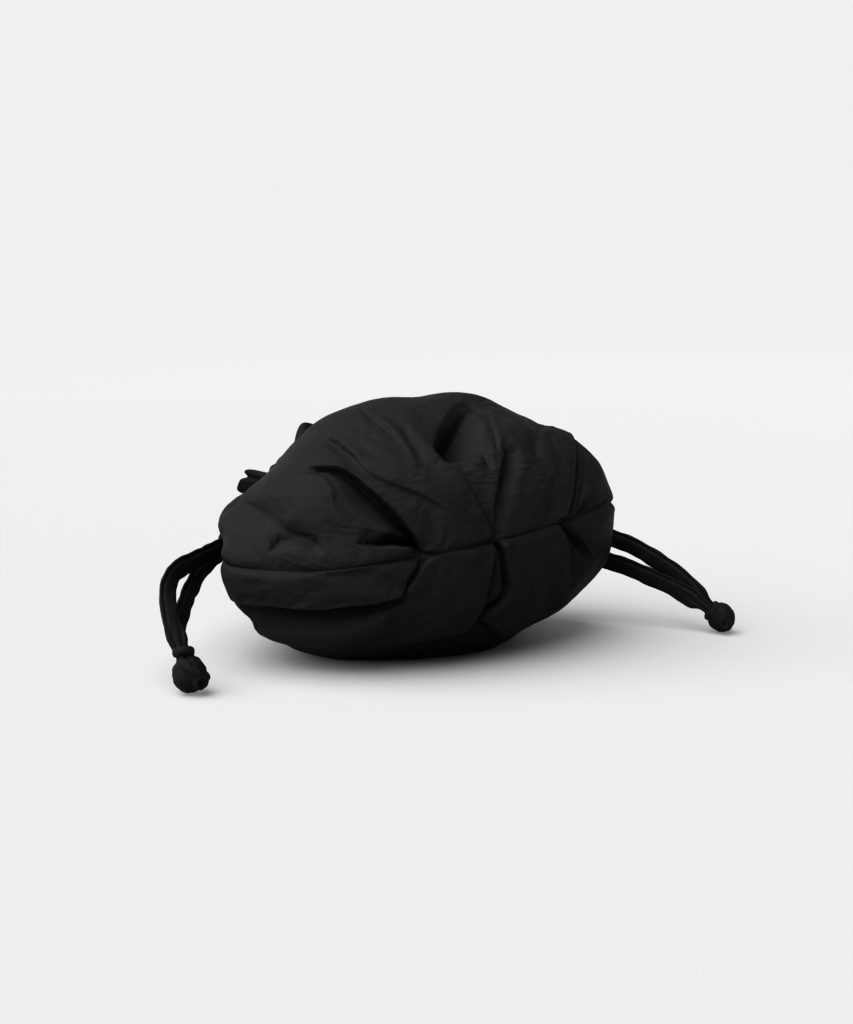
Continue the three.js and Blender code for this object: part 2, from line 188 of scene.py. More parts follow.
def sines(angle, waves, base=0):
    """A base with sine waves on it. Each wave has a height, a number in a full turn and a start."""
    return sum((height * np.sin(count * angle + start) for height, count, start in waves), base)


def smooth_path(points, steps):
    """A smooth line through points, with a number of steps in each span."""
    points = np.asarray(points, float)
    padded = np.vstack([2 * points[0] - points[1], points, 2 * points[-1] - points[-2]])
    line = []
    for before, start, end, after in zip(padded, padded[1:], padded[2:], padded[3:]):
        for way in np.arange(steps) / steps:
            leave = (end - before) / 2
            arrive = (after - start) / 2
            line.append(
                (2 * way**3 - 3 * way**2 + 1) * start + (way**3 - 2 * way**2 + way) * leave
                + (3 * way**2 - 2 * way**3) * end + (way**3 - way**2) * arrive
            )
    return np.array([*line, points[-1]])


def waver(points, size):
    """Smooth noise from -1 to 1 at each point, with waves of a size in the points' own unit."""
    return np.array([noise.noise(Vector(point)) for point in np.asarray(points, float) / size])


def flat_grid(columns, rows):
    """A flat grid, with each corner's share of the way across it and along it."""
    cloth = bmesh.new()
    bmesh.ops.create_grid(cloth, x_segments=columns, y_segments=rows, size=0.5)
    flat = np.array([vert.co for vert in cloth.verts])
    low = flat.min(axis=0)
    high = flat.max(axis=0)
    across = (flat[:, 0] - low[0]) / (high[0] - low[0])
    along = (flat[:, 1] - low[1]) / (high[1] - low[1])
    return cloth, across, along


def move_corners(cloth, spots):
    for vert, spot in zip(cloth.verts, spots):
        vert.co = spot


def grid_of_cloth(columns, rows, place):
    """A grid whose corners are moved to the metres that place gives for their shares across and along."""
    cloth, across, along = flat_grid(columns, rows)
    move_corners(cloth, place(across, along))
    return cloth


def close_ring(cloth):
    """Joins a grid's first and last columns into a ring."""
    bmesh.ops.remove_doubles(cloth, verts=cloth.verts, dist=1e-6)


def close_ends(tube):
    """Caps a tube's two open ends and turns all its faces outwards."""
    bmesh.ops.holes_fill(tube, edges=[edge for edge in tube.edges if edge.is_boundary])
    bmesh.ops.recalc_face_normals(tube, faces=tube.faces)


def turn_outwards(cloth, outside):
    """Flips a sheet whose faces mostly look inwards. outside gives the way out at a face."""
    cloth.normal_update()
    facing = sum(face.normal.dot(outside(face)) for face in cloth.faces)
    if facing < 0:
        bmesh.ops.reverse_faces(cloth, faces=cloth.faces)


def mesh_object(shape, name, material):
    """Makes a smooth object of a bmesh, in a material."""
    mesh = bpy.data.meshes.new(name)
    shape.to_mesh(mesh)
    shape.free()
    mesh.shade_smooth()
    mesh.materials.append(material)
    return put_in_scene(name, mesh)


def finish_piece(shape, name, node, material):
    """Makes an object of a bmesh and lets it stand for a node."""
    piece = mesh_object(shape, name, material)
    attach(piece, BODY)
    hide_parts(node)
    return piece


def give_wall(piece, wall_mm):
    """Gives a sheet its thickness, inwards from the face that shows."""
    wall = piece.modifiers.new("wall", "SOLIDIFY")
    wall.thickness = wall_mm * MM
    wall.offset = -1


# Drawstrings: flat tubes of cloth, two to a side, from the channel to a knot

class Strand(NamedTuple):
    """A strand: the way its flat side faces, and its route from the channel to the knot, in metres."""
    name: str
    node: str
    knot: str
    facing: tuple
    route: list


LEFT_FACING = (0.1, -1, 0.1)
RIGHT_FACING = (0.85, 0.5, 0)
STRANDS = [
    Strand("left_tube_1", "left_strand_1", "left_knot", LEFT_FACING, [
        (-0.052, 0.083, 0.092), (-0.064, 0.079, 0.087), (-0.077, 0.073, 0.081), (-0.088, 0.065, 0.075),
        (-0.097, 0.055, 0.070), (-0.105, 0.044, 0.066), (-0.115, 0.034, 0.065), (-0.127, 0.025, 0.064),
        (-0.139, 0.016, 0.063), (-0.151, 0.007, 0.062), (-0.162, -0.002, 0.060), (-0.171, -0.013, 0.055),
        (-0.176, -0.024, 0.046), (-0.178, -0.035, 0.035), (-0.179, -0.046, 0.024), (-0.178, -0.056, 0.014)]),
    Strand("left_tube_2", "left_strand_2", "left_knot", LEFT_FACING, [
        (-0.052, 0.085, 0.077), (-0.064, 0.084, 0.074), (-0.077, 0.080, 0.070), (-0.088, 0.073, 0.066),
        (-0.097, 0.064, 0.063), (-0.105, 0.054, 0.060), (-0.114, 0.045, 0.058), (-0.125, 0.035, 0.055),
        (-0.134, 0.025, 0.052), (-0.143, 0.014, 0.048), (-0.151, 0.004, 0.044), (-0.159, -0.007, 0.039),
        (-0.167, -0.018, 0.034), (-0.173, -0.029, 0.027), (-0.176, -0.040, 0.019), (-0.178, -0.051, 0.012)]),
    Strand("right_tube_1", "right_strand_1", "right_knot", RIGHT_FACING, [
        (0.006, 0.084, 0.094), (0.023, 0.085, 0.090), (0.042, 0.084, 0.085), (0.061, 0.080, 0.080),
        (0.078, 0.073, 0.076), (0.095, 0.063, 0.071), (0.109, 0.050, 0.068), (0.122, 0.035, 0.064),
        (0.133, 0.019, 0.061), (0.142, 0.002, 0.059), (0.150, -0.015, 0.056), (0.158, -0.032, 0.051),
        (0.165, -0.048, 0.044), (0.172, -0.064, 0.035), (0.178, -0.079, 0.022), (0.186, -0.093, 0.010)]),
    Strand("right_tube_2", "right_strand_2", "right_knot", RIGHT_FACING, [
        (0.006, 0.086, 0.079), (0.023, 0.088, 0.075), (0.042, 0.087, 0.070), (0.060, 0.083, 0.066),
        (0.077, 0.075, 0.062), (0.093, 0.064, 0.058), (0.107, 0.052, 0.054), (0.119, 0.037, 0.051),
        (0.130, 0.021, 0.047), (0.137, 0.003, 0.045), (0.143, -0.015, 0.042), (0.151, -0.032, 0.038),
        (0.159, -0.049, 0.033), (0.167, -0.066, 0.027), (0.175, -0.083, 0.019), (0.181, -0.096, 0.011)]),
]
STRAND_WIDTH = 12.0
STRAND_THICKNESS = 3.4
STRAND_SIDES = 56
STEPS_PER_SPAN = 10
STRAND_SEAM_AT = 0.64
STRAND_SEAM_DEPTH = 0.9
STRAND_SEAM_WIDTH = 0.9
STRAND_EDGE_CURVE = 0.85
STRAND_FACE_CURVE = 0.75
STRAND_LEAD_IN = 5.0

# Wrinkles of a strand: their height, the sizes of the broad ones, the fine ones and the edges' waves, how
# much breadth and depth count beside length, and how far apart in the noise the three kinds are
STRAND_WRINKLE = 0.8
BROAD_WRINKLES = 7.0
FINE_WRINKLES = 3.5
EDGE_WAVES = 9.0
WRINKLE_BREADTH = 0.6
WRINKLE_DEPTH = 2
WRINKLE_APART = 40
WRINKLE_FACE_CURVE = 0.5

# Share of the fine wrinkles beside the broad ones, in strands and knots
FINE_WRINKLE_SHARE = 0.5

# Puckers: ridges along the last stretch of a strand, which spreads a little before the knot draws it in
PUCKER_LENGTH = 40.0
PUCKER_FULL = 22.0
PUCKER_RIDGES = 9
PUCKER_DEPTH = 1.0
PUCKER_TWIST = 16.0
PUCKER_SPREAD = 0.14
KNOT_DRAW = 0.45
KNOT_DRAW_FROM = 22.0
KNOT_DRAW_FULL = 13.0


def strand_tube(strand):
    """A flat tube with a stitched line beside one edge, soft cross wrinkles and puckers at the knot."""
    route = smooth_path(strand.route, STEPS_PER_SPAN)
    way_in = (route[0] - route[1]) / np.linalg.norm(route[0] - route[1])
    path = np.vstack([route[0] + way_in * STRAND_LEAD_IN * MM, route])
    tangents = np.gradient(path, axis=0)
    tangents /= np.linalg.norm(tangents, axis=1)[:, None]
    facing = np.array(strand.facing, float)
    normals = facing - (tangents @ facing)[:, None] * tangents
    normals /= np.linalg.norm(normals, axis=1)[:, None]
    breadths = np.cross(tangents, normals)
    travelled = np.concatenate([[0], np.cumsum(np.linalg.norm(np.diff(path, axis=0), axis=1))]) / MM
    rows = len(path) - 1
    half_width = STRAND_WIDTH / 2
    # A left strand's name and a right one's differ in length, which gives the two sides different wrinkles
    wrinkle_place = len(strand.name)

    def place(across, along):
        row = np.rint(along * rows).astype(int)
        angle = 2 * math.pi * across
        to_end = travelled[-1] - travelled[row]
        pucker = 1 - smoothstep(to_end, PUCKER_FULL, PUCKER_LENGTH)
        drawn = 1 - KNOT_DRAW * (1 - smoothstep(to_end, KNOT_DRAW_FULL, KNOT_DRAW_FROM))
        breadth = half_width * signed_power(np.sin(angle), STRAND_EDGE_CURVE)
        depth = STRAND_THICKNESS / 2 * signed_power(np.cos(angle), STRAND_FACE_CURVE)
        from_seam = (breadth / half_width - STRAND_SEAM_AT) * half_width
        on_line = np.exp(-((from_seam / STRAND_SEAM_WIDTH) ** 2))
        depth -= STRAND_SEAM_DEPTH * on_line * np.sign(depth)
        spots = np.stack(
            [travelled[row], breadth * WRINKLE_BREADTH, depth * WRINKLE_DEPTH + wrinkle_place], axis=1,
        )
        fine = FINE_WRINKLE_SHARE * waver(spots + WRINKLE_APART, FINE_WRINKLES)
        wrinkle = STRAND_WRINKLE * (waver(spots, BROAD_WRINKLES) + fine)
        ridges = np.abs(np.sin(PUCKER_RIDGES * angle / 2 + to_end / PUCKER_TWIST)) - 0.5
        wrinkle += PUCKER_DEPTH * pucker * ridges
        edge = STRAND_WRINKLE * waver(spots + 2 * WRINKLE_APART, EDGE_WAVES)
        depth += wrinkle * signed_power(np.cos(angle), WRINKLE_FACE_CURVE)
        breadth = breadth * (1 + PUCKER_SPREAD * pucker) * drawn + edge * np.sin(angle)
        return path[row] + (depth[:, None] * normals[row] + breadth[:, None] * breadths[row]) * MM

    tube = grid_of_cloth(STRAND_SIDES, rows, place)
    close_ring(tube)
    close_ends(tube)
    piece = finish_piece(tube, strand.name, strand.node, CORD_NYLON)
    return piece, route


# Knots: a wrapped core, fused into one lump of cloth

class Wrap(NamedTuple):
    """One turn of cloth over a knot: its middle from the knot's, its axis, size and section, in mm."""
    name: str
    at: tuple
    axis: tuple
    reach: tuple
    breadth: float
    thickness: float


class Knot(NamedTuple):
    """A knot: its middle and the half sizes of its core in mm, and the wraps over the core."""
    name: str
    node: str
    middle: tuple
    half: tuple
    wraps: list


KNOTS = [
    Knot("left_knot_wrap", "left_knot", middle=(-177.5, -54.3, 11.6), half=(9.9, 10.1, 10.8), wraps=[
        Wrap("collar", at=(-1.9, 3.5, 12.4), axis=(-0.15, -0.42, -0.89),
             reach=(4.0, 4.0), breadth=5.5, thickness=4.6),
        Wrap("slanting turn", at=(2.0, -0.8, 2.7), axis=(0.58, -0.22, 0.78),
             reach=(8.9, 9.1), breadth=6.0, thickness=4.2),
        Wrap("cut end", at=(2.2, -7.6, -2.6), axis=(0.1, -0.95, -0.17),
             reach=(3.3, 3.3), breadth=8.0, thickness=3.2),
    ]),
    Knot("right_knot_wrap", "right_knot", middle=(184, -94, 10.0), half=(8.9, 8.8, 9.4), wraps=[
        Wrap("collar", at=(-4.6, 3.8, 4.6), axis=(0.63, -0.50, -0.54),
             reach=(4.8, 4.8), breadth=5.0, thickness=4.4),
        Wrap("upright turn", at=(1.0, -0.6, 0.6), axis=(0.79, -0.44, 0.30),
             reach=(7.4, 7.6), breadth=6.5, thickness=4.2),
        Wrap("cut end", at=(-2.6, -6.0, -2.0), axis=(-0.53, -0.84, 0.1),
             reach=(3.0, 3.0), breadth=6.5, thickness=2.8),
    ]),
]
CORE_SEGMENTS = 32
CORE_RINGS = 24
WRAP_SIDES = 16
WRAP_STEPS = 48
WRAP_FACE_CURVE = 0.9
WRAP_EDGE_CURVE = 0.8

# A direction that no wrap's axis lies along, from which a wrap's round starts
WRAP_START = (0.3, 1, 0.2)
KNOT_VOXEL = 0.45
KNOT_SMOOTHINGS = 2
KNOT_WRINKLE = 0.5
KNOT_BROAD_WRINKLES = 4.0
KNOT_FINE_WRINKLES = 2.0


def wrap_ring(wrap, middle):
    """A closed band of cloth of a knot, round its own axis."""
    axis = np.array(wrap.axis, float)
    axis /= np.linalg.norm(axis)
    first = np.cross(axis, WRAP_START)
    first /= np.linalg.norm(first)
    second = np.cross(axis, first)

    def place(across, along):
        round_axis = 2 * math.pi * along
        section = 2 * math.pi * across
        out = wrap.thickness / 2 * signed_power(np.cos(section), WRAP_FACE_CURVE)
        lift = wrap.breadth / 2 * signed_power(np.sin(section), WRAP_EDGE_CURVE)
        x = (wrap.reach[0] + out) * np.cos(round_axis)
        y = (wrap.reach[1] + out) * np.sin(round_axis)
        centre = np.array(middle) + wrap.at
        return (centre + x[:, None] * first + y[:, None] * second + lift[:, None] * axis) * MM

    ring = grid_of_cloth(WRAP_SIDES, WRAP_STEPS, place)
    close_ring(ring)
    bmesh.ops.recalc_face_normals(ring, faces=ring.faces)
    return ring


def knot_lump(knot):
    """A knot's core and wraps, fused into one wrinkled lump that stays above the floor."""
    lump = bmesh.new()
    bmesh.ops.create_uvsphere(lump, u_segments=CORE_SEGMENTS, v_segments=CORE_RINGS, radius=1.0)
    bmesh.ops.scale(lump, vec=Vector(knot.half) * MM, verts=lump.verts)
    bmesh.ops.translate(lump, vec=Vector(knot.middle) * MM, verts=lump.verts)
    for wrap in knot.wraps:
        ring = wrap_ring(wrap, knot.middle)
        spare = bpy.data.meshes.new("wrap")
        ring.to_mesh(spare)
        ring.free()
        lump.from_mesh(spare)
        bpy.data.meshes.remove(spare)
    piece = finish_piece(lump, knot.name, knot.node, CORD_NYLON)
    fuse = piece.modifiers.new("fuse", "REMESH")
    fuse.mode = "VOXEL"
    fuse.voxel_size = KNOT_VOXEL * MM
    soften = piece.modifiers.new("soften", "SMOOTH")
    soften.iterations = KNOT_SMOOTHINGS
    fused = bpy.data.meshes.new_from_object(piece.evaluated_get(bpy.context.evaluated_depsgraph_get()))
    piece.modifiers.clear()
    piece.data = fused
    spots = np.array([vert.co for vert in fused.vertices]) / MM
    wrinkles = waver(spots, KNOT_BROAD_WRINKLES) + FINE_WRINKLE_SHARE * waver(spots, KNOT_FINE_WRINKLES)
    shifts = KNOT_WRINKLE * wrinkles * MM
    normals = [Vector(vert.normal) for vert in fused.vertices]
    for vert, normal, shift in zip(fused.vertices, normals, shifts):
        vert.co += normal * shift
        vert.co.z = max(vert.co.z, 0)
    fused.shade_smooth()
    return piece


knot_pieces = {knot.node: knot_lump(knot) for knot in KNOTS}
for strand in STRANDS:
    tube, route = strand_tube(strand)


# Body: a slack ovoid of cloth, rolled a little about the mouth's axis and flat where it rests
HALF_WIDTH = 133.0
HALF_DEPTH = 88.0
HALF_HEIGHT = 82.5
SQUARENESS = 2.15
SHARE = 2 / SQUARENESS
ROLL = math.radians(3.5)
BODY_MIDDLE = np.array((0.0, -18.0, 73.5))

# Bottom seam: a line across the front, a share of the width long, that climbs to the right
SEAM_REACH = 0.8
SEAM_RISE = 6.0
SEAM_SLOPE = 0.056
SEAM_GROOVE = 2.2
SEAM_BAND = 4.5
SEAM_HOLD = 4.0

# Neck: where the body is gathered into the channel, off the middle towards the upper left
NECK_X = -22.0
NECK_Z = 14.0
NECK_RADIUS = 23.0
NECK_CONE = 6.0
CONE_REACH = 26.0
GATHERS = 18
GATHER_DEPTH = 4.2
GATHER_CURVE = 0.8
GATHER_START = 1.12
GATHER_START_WAVES = [(0.16, 5, 0.7), (0.1, 11, 0)]
GATHER_FULL = 1.75
GATHER_END = 1.97
FINE_GATHERS = 2.5
FINE_GATHER_SHARE = 0.3

# Pleats of the neck and the channel: how they stray from even spacing, and the level between their crests and
# valleys
PLEAT_WOBBLE = [(0.5, 3, 1), (0.35, 7, 2)]
PLEAT_LEVEL = 0.6

PANEL_COLUMNS = 380
FRONT_ROWS = 164
BACK_ROWS = 70
PANEL_SMOOTHINGS = 1

# Settling: each panel is simulated as slack cloth that the filling swells, on a coarser grid. It starts with
# a little room away from the seam, and is held where a fold is deep and in the gathers.
SETTLE_COARSER = 2
SETTLE_FRAMES = 16
SETTLE_PUSH = 8.0
SETTLE_SLACK = 0.012
SETTLE_BENDING = 0.05
SETTLE_LIMIT = 5.0
SETTLE_ROOM = 2.0
SETTLE_ROOM_FROM_SEAM = 14.0
HOLD_FROM = 1.5
HOLD_FULL = 6.0
GATHER_HOLD_FROM = 1.3
GATHER_HOLD_FULL = 1.7

# Section of every fold: the curve of its valley, the shares of its length where it begins to fade, is wide
# open and begins to narrow to its tip, the run-out past its ends, and the limits of all folds together
VALLEY_CURVE = 1.15
FADE_START = 0.4
PINCH_END = 0.5
TIP_START = 0.5
FOLD_END = 8.0
DEEPEST = -26.0
HIGHEST = 8.0
PATH_STEPS = 6

UPPER = "upper"
LOWER = "lower"
LIP_RIGHT = 1
LIP_LEFT = -1


class Fold(NamedTuple):
    """Cloth that lies over itself along the places in at: x in mm, and degrees round the long axis.

    The line is the crest that shows. On one side of it the cloth rolls up by lip, which dies out over roll.
    On the other it falls by depth over edge, and then comes back over valley. The crest leans out over the
    valley. fade is the strength left at the far end, and pinch and tip are the shares of the widths at the
    near and the far end.
    """
    name: str
    panel: str
    at: list
    depth: float
    valley: float
    lip: float
    roll: float
    side: int
    fade: float
    edge: float
    lean: float
    pinch: float = 0.4
    tip: float = 1.0


class Wave(NamedTuple):
    """A soft ridge, or a hollow where the height is below 0, along the places in at."""
    name: str
    panel: str
    at: list
    height: float
    width: float
    fade: float


class Spot(NamedTuple):
    """A round place whose height dies out over a radius: a bulge, a dent (below 0) or a patch of creases."""
    name: str
    at: tuple
    height: float
    radius: float


FOLDS = [
    Fold("great fold", UPPER,
         [(-48.5, 4), (-55.5, 14), (-63.5, 25), (-71, 36), (-77, 46), (-84, 54), (-91, 60)],
         depth=18, valley=26, lip=2.5, roll=20, side=LIP_RIGHT, fade=0.4, edge=3, lean=5, tip=0.25),
    Fold("short tuck", UPPER, [(-48.5, 4), (-54, 6), (-60, 7), (-66, 8.5), (-73, 9), (-80, 10.5)],
         depth=18, valley=13, lip=2.2, roll=8, side=LIP_LEFT, fade=0.4, edge=2.5, lean=2, pinch=0.7),
    Fold("long crease", UPPER,
         [(-69, 79), (-69, 67), (-68, 56), (-65, 46), (-60, 40), (-53, 34), (-46, 28.5), (-37, 22.5),
          (-28, 17.5), (-19, 13)],
         depth=3.5, valley=11, lip=1.2, roll=10, side=LIP_LEFT, fade=0.15, edge=2, lean=1, pinch=0.7),
    Fold("brow crease", UPPER, [(-36, 88), (-39, 73), (-39, 64), (-39, 56), (-39, 49)],
         depth=1.8, valley=10, lip=1.0, roll=8, side=LIP_LEFT, fade=0.3, edge=2, lean=0.6),
    Fold("hollow's crease", UPPER, [(-2.5, 5), (-5, 10), (-8, 15), (-12.5, 25), (-16, 34), (-21, 42)],
         depth=5, valley=12, lip=1.2, roll=10, side=LIP_LEFT, fade=0.8, edge=2.5, lean=1.2),
    Fold("hollow's rim", UPPER,
         [(-24, 42), (-24, 47), (-22, 50), (-16, 55), (-8, 61), (4, 68), (17, 77), (29, 82)],
         depth=20, valley=30, lip=1.5, roll=10, side=LIP_LEFT, fade=0.4, edge=10, lean=1.5, pinch=1),
    Fold("crease in the hollow", UPPER, [(9, 36), (10, 39), (11, 43), (13, 50), (15, 58)],
         depth=4, valley=8, lip=1, roll=7, side=LIP_RIGHT, fade=0.4, edge=2, lean=1, pinch=0.6),
    Fold("crown crease", UPPER, [(20, 42), (24, 48), (31, 59), (44, 77)],
         depth=2.5, valley=7, lip=1.0, roll=7, side=LIP_RIGHT, fade=0.5, edge=2, lean=0.8),
    Fold("middle crease", UPPER, [(-0.5, 5), (0, 12), (2.5, 20), (8, 27), (15, 34), (21, 39)],
         depth=3, valley=13, lip=1.5, roll=8, side=LIP_LEFT, fade=0.8, edge=2.5, lean=0.8),
    Fold("right tuck", UPPER,
         [(54.5, 8), (58.5, 12), (62.5, 16), (68.5, 23), (75, 30), (83, 38), (89, 45), (94, 52), (98, 60),
          (100, 68), (101, 76)],
         depth=24, valley=8, lip=2.5, roll=15, side=LIP_LEFT, fade=0.5, edge=2.5, lean=5, pinch=0.7, tip=0.2),
    Fold("left pleat", LOWER, [(-47.5, 3), (-52.5, 0), (-57, -4), (-60.5, -8), (-62.5, -12), (-64, -14)],
         depth=5, valley=4, lip=1.5, roll=10, side=LIP_RIGHT, fade=1, edge=1.5, lean=1.5, pinch=0.7),
    Fold("left pleat's fellow", LOWER, [(-45.5, 1), (-49, -1), (-53, -5), (-57, -9), (-60.5, -12)],
         depth=3.5, valley=3, lip=1.8, roll=12, side=LIP_LEFT, fade=0.8, edge=1.5, lean=1, pinch=0.7),
    Fold("lower roll's edge", LOWER,
         [(-64, -14), (-72, -16), (-80, -18), (-90, -19), (-102, -23), (-112, -28), (-122, -38),
          (-127, -57), (-129, -90)],
         depth=26, valley=24, lip=3, roll=16, side=LIP_RIGHT, fade=0.7, edge=3, lean=6.5),
    Fold("middle pleat, left edge", LOWER, [(-1.5, 3), (-3, -2), (-5, -9), (-6.5, -15), (-8, -24), (-8, -31)],
         depth=9, valley=10, lip=1.5, roll=16, side=LIP_RIGHT, fade=0.9, edge=2.5, lean=1.5),
    Fold("middle pleat, right edge", LOWER,
         [(1.5, 4), (4.5, -1), (6.5, -6), (9, -13), (10.5, -17), (9, -21), (6, -24), (1, -26), (-4, -29),
          (-7, -33)],
         depth=10, valley=8, lip=2, roll=12, side=LIP_LEFT, fade=1, edge=2.5, lean=2),
    Fold("right pleat", LOWER, [(50, 5), (53, 1), (56, -5), (58, -11), (61, -18), (65, -27)],
         depth=13, valley=16, lip=1.2, roll=14, side=LIP_RIGHT, fade=0.6, edge=3, lean=1.5),
    Fold("right facet", LOWER, [(54, 4), (61, 1), (68, -3), (76, -9), (82, -14)],
         depth=11, valley=12, lip=1.5, roll=10, side=LIP_LEFT, fade=0.6, edge=2.5, lean=2),
    Fold("under edge", LOWER,
         [(-7, -33), (-11, -35), (-20, -36), (-30, -37), (-38, -40), (-46, -44), (-52, -49)],
         depth=22, valley=40, lip=1.2, roll=18, side=LIP_RIGHT, fade=0.4, edge=3.5, lean=1.5, pinch=1),
]

WAVES = [
    Wave("brow valley", UPPER, [(-30, 64), (-33, 55), (-34, 48), (-36, 42), (-39, 37)],
         height=-1.8, width=4, fade=0.3),
    Wave("ridge beside the hollow", UPPER, [(31, 77), (27, 66), (22, 56), (18, 48), (15, 40)],
         height=1.5, width=4, fade=0.5),
    Wave("valley right of the crease", UPPER, [(28, 40), (22, 33), (15, 27), (10, 21), (7, 16)],
         height=-3.5, width=5, fade=0.3),
    Wave("right soft valley", UPPER, [(54, 47), (46, 39), (41, 33)], height=-1.8, width=5, fade=0.3),
    Wave("right streak", UPPER, [(62, 12), (74, 21)], height=2, width=2.2, fade=0.5),
    Wave("right outer streak", UPPER, [(66, 10), (82, 21)], height=2, width=2.2, fade=0.5),
    Wave("right end valley", UPPER, [(67, 8), (75, 10), (83, 13)], height=-4, width=4, fade=0.6),
    Wave("left upper dent", UPPER, [(-116, 140), (-122, 110), (-124, 80), (-122, 58), (-120, 46), (-117, 38)],
         height=-8, width=9, fade=0.4),
    Wave("left lower dent", UPPER, [(-124, 23), (-120, 24), (-115, 24), (-110, 21), (-106, 16)],
         height=-7, width=6, fade=0.8),
    Wave("left light roll", UPPER, [(-126, 24), (-118, 17), (-108, 14)], height=1.5, width=6, fade=0.4),
    Wave("hollow of the lower roll", LOWER, [(-100, -1), (-91, -3), (-80, -2), (-72, 0)],
         height=-2.5, width=5, fade=0.6),
    Wave("right end of the lower roll", LOWER, [(-68, -4), (-72, -9), (-83, -12)],
         height=1.5, width=6, fade=0.4),
    Wave("roll under the lower valley", LOWER,
         [(-115, -94), (-111, -66), (-103, -51), (-93, -42), (-82, -34), (-70, -26)],
         height=4.5, width=9, fade=0.8),
]

SWELLINGS = [
    Spot("left pinch", (-49.5, 3), height=-3, radius=7),
    Spot("middle pinch", (-1.5, 4), height=-3, radius=7),
    Spot("right pinch", (55, 6), height=-2.5, radius=7),
    Spot("hollow", (-3, 53), height=-7, radius=17),
    Spot("lower roll", (-101, -10), height=3, radius=24),
    Spot("left shoulder", (-97, 121), height=-12, radius=40),
    Spot("left ear", (-119, 143), height=8.8, radius=21),
    Spot("left end groove", (-126, -179), height=-7, radius=15),
    Spot("right shoulder", (82, 77), height=-6, radius=32),
    Spot("right underside", (52, -56), height=-8, radius=21),
    Spot("right flank", (91, -46), height=-2.5, radius=22),
    Spot("right bottom lump", (64, -38), height=3, radius=9),
    Spot("left underside", (-59, -65), height=-5, radius=34),
    Spot("crown", (34, 96), height=3.2, radius=21),
    Spot("right of the crown", (52, 92), height=2.5, radius=16),
    Spot("left brow", (-50, 108), height=3.5, radius=26),
    Spot("upper brow", (-12, 102), height=3, radius=20),
    Spot("right brow", (90, 66), height=4.5, radius=19),
    Spot("right cone", (102, 34), height=3, radius=13),
    Spot("right end", (127, 10), height=1.8, radius=26),
    Spot("right lower end", (112, -40), height=3, radius=22),
    Spot("left lower end", (-132, -60), height=6.5, radius=24),
]

# Patches of fine creases that run across the bag
CRINKLES = [
    Spot("brow patch", (-55, 68), height=2.4, radius=18),
    Spot("patch beside the thin crease", (-45, 36), height=2.0, radius=13),
    Spot("patch in the hollow", (2, 32), height=2.0, radius=12),
    Spot("right upper patch", (33, 28), height=1.8, radius=20),
    Spot("left end patch", (-122, 20), height=0.4, radius=20),
    Spot("left front patch", (-95, 15), height=0.4, radius=16),
    Spot("lower front patch", (-35, -22), height=0.9, radius=26),
]
CRINKLE_LENGTH = 16.0
CRINKLE_WIDTH = 3.6
CRINKLE_BASE = 0.25

# Unevenness of all the cloth: heights and sizes of its waves
UNEVENNESS = [(1.0, 38), (0.7, 16), (0.25, 7)]


def ring_share(v):
    """How much of the full width and height the body's ring has behind its widest place."""
    return np.clip(np.cos((v - 1) * math.pi / 2), 0, 1) ** SHARE


def ovoid_points(u, v):
    """Points of the plain ovoid: u goes round the mouth's axis, and v from the seam (0) to the neck (2)."""
    across = signed_power(np.cos(u), SHARE)
    up = signed_power(np.sin(u), SHARE)
    tilt = np.clip(v, 0, 1) * math.pi / 2
    x = HALF_WIDTH * np.hypot(SEAM_REACH * np.cos(tilt), np.sin(tilt)) * across
    level = HALF_HEIGHT * np.sin(tilt) * up
    lift = (SEAM_RISE + SEAM_SLOPE * x) * (1 - (level / HALF_HEIGHT) ** 2) * np.cos(tilt) ** 2
    z = level + lift
    left = 1 - np.abs(x / HALF_WIDTH) ** SQUARENESS - np.abs(z / HALF_HEIGHT) ** SQUARENESS
    front = np.stack([x, -HALF_DEPTH * np.clip(left, 0, 1) ** (1 / SQUARENESS), z], axis=1)
    share = ring_share(np.maximum(v, 1))
    drift = (1 - share) ** 2
    bulge = np.sin(np.clip(v - 1, 0, 1) * math.pi / 2) ** SHARE
    back = np.stack([
        np.hypot(HALF_WIDTH * share, NECK_RADIUS * (1 - share)) * across + NECK_X * drift,
        HALF_DEPTH * bulge + NECK_CONE * np.exp(-share * HALF_HEIGHT / CONE_REACH),
        np.hypot(HALF_HEIGHT * share, NECK_RADIUS * (1 - share)) * up + NECK_Z * drift,
    ], axis=1)
    return np.where((v <= 1)[:, None], front, back)


def outward(points):
    """The way out of the ovoid at points on or near it."""
    half = np.array((HALF_WIDTH, HALF_DEPTH, HALF_HEIGHT))
    slope = signed_power(points / half, SQUARENESS - 1) / half
    return slope / np.linalg.norm(slope, axis=-1)[..., None]


def on_ovoid(place):
    """The point of the ovoid at x along the width and a turn round the long axis."""
    x, turn = place[0], math.radians(place[1])
    left = 1 - abs(x / HALF_WIDTH) ** SQUARENESS
    forward = abs(math.cos(turn) / HALF_DEPTH) ** SQUARENESS
    upward = abs(math.sin(turn) / HALF_HEIGHT) ** SQUARENESS
    reach = (left / (forward + upward)) ** (1 / SQUARENESS)
    return np.array((x, -reach * math.cos(turn), reach * math.sin(turn)))


class Beside(NamedTuple):
    """Where points stand to a path: distance, share of the way along, distance to the right, run past the
    ends, and the way to the right."""
    nearest: np.ndarray
    share: np.ndarray
    lateral: np.ndarray
    past: np.ndarray
    right: np.ndarray


def near_path(points, path, reach):
    """Which points are inside a path's box, with reach added on every side."""
    return np.all((points > path.min(axis=0) - reach) & (points < path.max(axis=0) + reach), axis=1)


